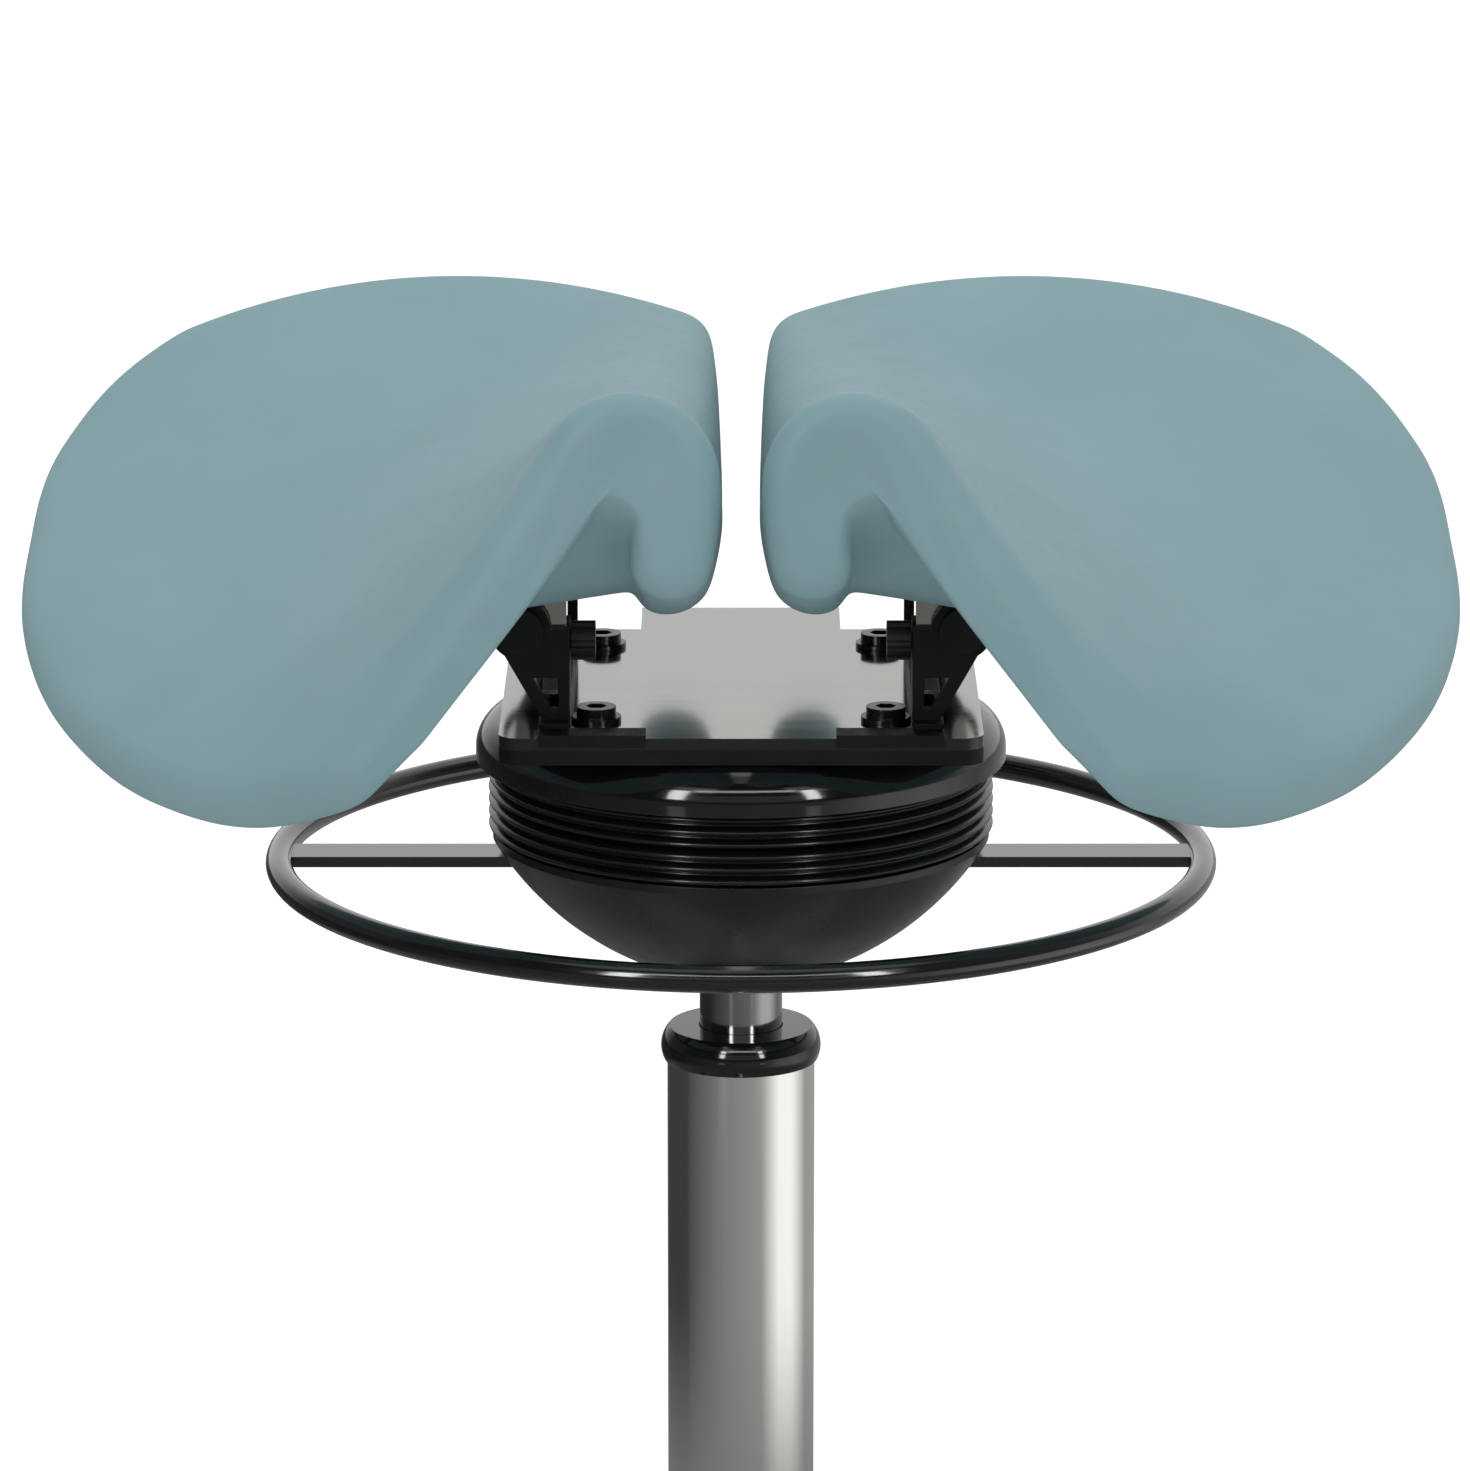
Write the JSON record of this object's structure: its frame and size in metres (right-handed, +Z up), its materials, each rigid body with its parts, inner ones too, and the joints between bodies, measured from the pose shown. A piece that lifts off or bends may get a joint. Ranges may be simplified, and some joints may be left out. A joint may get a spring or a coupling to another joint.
{
  "type": "saddle stool",
  "caption": "Saddle stool with a split upholstered seat on tilting arms, a rubber-sprung swing unit, a height ring and a gas-lift column on a castered star base.",
  "frame": {"origin": "on the floor, on the axis of the column", "axes": "+Z up, -Y towards the front of the seat as pictured, +X to the picture's right"},
  "size_m": [0.5344, 0.52, 0.6354],
  "materials": {
    "upholstery": "smooth matt teal-grey synthetic leather over foam",
    "pan_board": "black-stained moulded plywood, hidden in the pad",
    "plate_steel": "satin zinc-plated steel sheet",
    "steel": "plain turned steel",
    "black_paint": "black powder coat",
    "black_gloss": "glossy black moulding",
    "black_rubber": "semi-gloss black rubber",
    "black_nylon": "matt black nylon",
    "grey_tread": "dark grey soft-tread wheel",
    "chrome": "polished chrome",
    "aluminium": "polished die-cast aluminium"
  },
  "bodies": {
    "base": {"star_base": "aluminium", "caster_stems": "steel", "outer_column": "chrome", "column_collar": "black_gloss", "guide_sleeve": "black_nylon", "lower_bearing_washer": "steel"},
    "caster_1": {"caster_hood_1": "black_nylon", "caster_axle_1": "steel"},
    "wheels_1": {"caster_wheels_1": "grey_tread"},
    "caster_2": {"caster_hood_2": "black_nylon", "caster_axle_2": "steel"},
    "wheels_2": {"caster_wheels_2": "grey_tread"},
    "caster_3": {"caster_hood_3": "black_nylon", "caster_axle_3": "steel"},
    "wheels_3": {"caster_wheels_3": "grey_tread"},
    "caster_4": {"caster_hood_4": "black_nylon", "caster_axle_4": "steel"},
    "wheels_4": {"caster_wheels_4": "grey_tread"},
    "caster_5": {"caster_hood_5": "black_nylon", "caster_axle_5": "steel"},
    "wheels_5": {"caster_wheels_5": "grey_tread"},
    "rod": {"piston_rod": "steel", "rod_clip": "steel", "rod_buffer": "black_rubber", "bearing_race": "steel"},
    "lift": {"gas_cylinder": "chrome", "bowl": "black_gloss", "bowl_hub": "steel", "swing_fork": "steel", "fork_screws": "steel", "lever_pin": "steel", "bellows": "black_rubber", "swing_rubber": "black_rubber", "ring_return_spring": "steel"},
    "ring": {"height_ring": "black_paint", "ring_spokes": "black_paint", "ring_yoke": "steel"},
    "lever": {"valve_lever": "steel"},
    "valve": {"valve_pin": "steel"},
    "cross": {"swing_cross": "steel"},
    "frame": {"swing_clevis": "steel", "top_cover": "black_gloss", "carrier_plate": "black_paint", "seat_plate": "plate_steel", "plate_bolts": "black_paint", "bracket_screws": "black_paint", "left_hinge_bracket": "black_paint", "right_hinge_bracket": "black_paint", "left_pivot_pin": "black_paint", "right_pivot_pin": "black_paint"},
    "left_half": {"left_seat_arm": "plate_steel", "left_seat_pan": "pan_board", "left_seat_pad": "upholstery", "left_pan_screws": "black_paint"},
    "left_knob": {"left_gap_screw": "black_nylon"},
    "right_half": {"right_seat_arm": "plate_steel", "right_seat_pan": "pan_board", "right_seat_pad": "upholstery", "right_pan_screws": "black_paint"},
    "right_knob": {"right_gap_screw": "black_nylon"}
  },
  "joints": [
    {"name": "caster_swivel_1", "type": "hinge", "parent": "base", "child": "caster_1", "pos_m": [0, -0.245, 0.066], "axis": [0, 0, 1], "continuous": true},
    {"name": "wheel_spin_1", "type": "hinge", "parent": "caster_1", "child": "wheels_1", "pos_m": [-0.02, -0.245, 0.03], "axis": [0, 1, 0], "continuous": true},
    {"name": "caster_swivel_2", "type": "hinge", "parent": "base", "child": "caster_2", "pos_m": [0.23301, -0.07571, 0.066], "axis": [0, 0, 1], "continuous": true},
    {"name": "wheel_spin_2", "type": "hinge", "parent": "caster_2", "child": "wheels_2", "pos_m": [0.22683, -0.09473, 0.03], "axis": [-0.9511, 0.309, 0], "continuous": true},
    {"name": "caster_swivel_3", "type": "hinge", "parent": "base", "child": "caster_3", "pos_m": [0.14401, 0.19821, 0.066], "axis": [0, 0, 1], "continuous": true},
    {"name": "wheel_spin_3", "type": "hinge", "parent": "caster_3", "child": "wheels_3", "pos_m": [0.16019, 0.18645, 0.03], "axis": [-0.5878, -0.809, 0], "continuous": true},
    {"name": "caster_swivel_4", "type": "hinge", "parent": "base", "child": "caster_4", "pos_m": [-0.14401, 0.19821, 0.066], "axis": [0, 0, 1], "continuous": true},
    {"name": "wheel_spin_4", "type": "hinge", "parent": "caster_4", "child": "wheels_4", "pos_m": [-0.12783, 0.20996, 0.03], "axis": [0.5878, -0.809, 0], "continuous": true},
    {"name": "caster_swivel_5", "type": "hinge", "parent": "base", "child": "caster_5", "pos_m": [-0.23301, -0.07571, 0.066], "axis": [0, 0, 1], "continuous": true},
    {"name": "wheel_spin_5", "type": "hinge", "parent": "caster_5", "child": "wheels_5", "pos_m": [-0.23919, -0.05669, 0.03], "axis": [0.9511, 0.309, 0], "continuous": true},
    {"name": "column_swivel", "type": "hinge", "parent": "base", "child": "rod", "pos_m": [0, 0, 0.081], "axis": [0, 0, 1], "continuous": true},
    {"name": "height", "type": "slide", "parent": "rod", "child": "lift", "axis": [0, 0, 1], "range_m": [0, 0.19]},
    {"name": "ring_press", "type": "slide", "parent": "lift", "child": "ring", "axis": [0, 0, 1], "range_m": [-0.006, 0], "stiffness_N_per_m": 1500, "springref_m": 0.01, "deforming": ["ring_return_spring"]},
    {"name": "lever_tilt", "type": "hinge", "parent": "lift", "child": "lever", "pos_m": [-0.013, 0, 0.4535], "axis": [0, 1, 0], "range_deg": [0, 8.4]},
    {"name": "valve_press", "type": "slide", "parent": "lift", "child": "valve", "axis": [0, 0, 1], "range_m": [-0.0024, 0]},
    {"name": "swing_pitch", "type": "hinge", "parent": "lift", "child": "cross", "pos_m": [0, 0, 0.481], "axis": [1, 0, 0], "range_deg": [-5, 5], "stiffness_Nm_per_rad": 150, "deforming": ["bellows", "swing_rubber"]},
    {"name": "swing_roll", "type": "hinge", "parent": "cross", "child": "frame", "pos_m": [0, 0, 0.481], "axis": [0, 1, 0], "range_deg": [-5, 5], "stiffness_Nm_per_rad": 150, "deforming": ["bellows", "swing_rubber"]},
    {"name": "left_half_tilt", "type": "hinge", "parent": "frame", "child": "left_half", "pos_m": [-0.072, 0, 0.541], "axis": [0, -1, 0], "range_deg": [-4, 4]},
    {"name": "left_gap_turn", "type": "hinge", "parent": "frame", "child": "left_knob", "pos_m": [-0.05, -0.05, 0.534], "axis": [-1, 0, 0], "range_deg": [-176, 176]},
    {"name": "right_half_tilt", "type": "hinge", "parent": "frame", "child": "right_half", "pos_m": [0.072, 0, 0.541], "axis": [0, 1, 0], "range_deg": [-4, 4]},
    {"name": "right_gap_turn", "type": "hinge", "parent": "frame", "child": "right_knob", "pos_m": [0.05, -0.05, 0.534], "axis": [1, 0, 0], "range_deg": [-176, 176]}
  ],
  "couplings": [
    {"joint": "lever_tilt", "follows": "ring_press", "rad_per_m": -24.39},
    {"joint": "valve_press", "follows": "ring_press", "ratio": 0.39024},
    {"joint": "left_gap_turn", "follows": "left_half_tilt", "ratio": -43.982},
    {"joint": "right_gap_turn", "follows": "right_half_tilt", "ratio": -43.982}
  ]
}
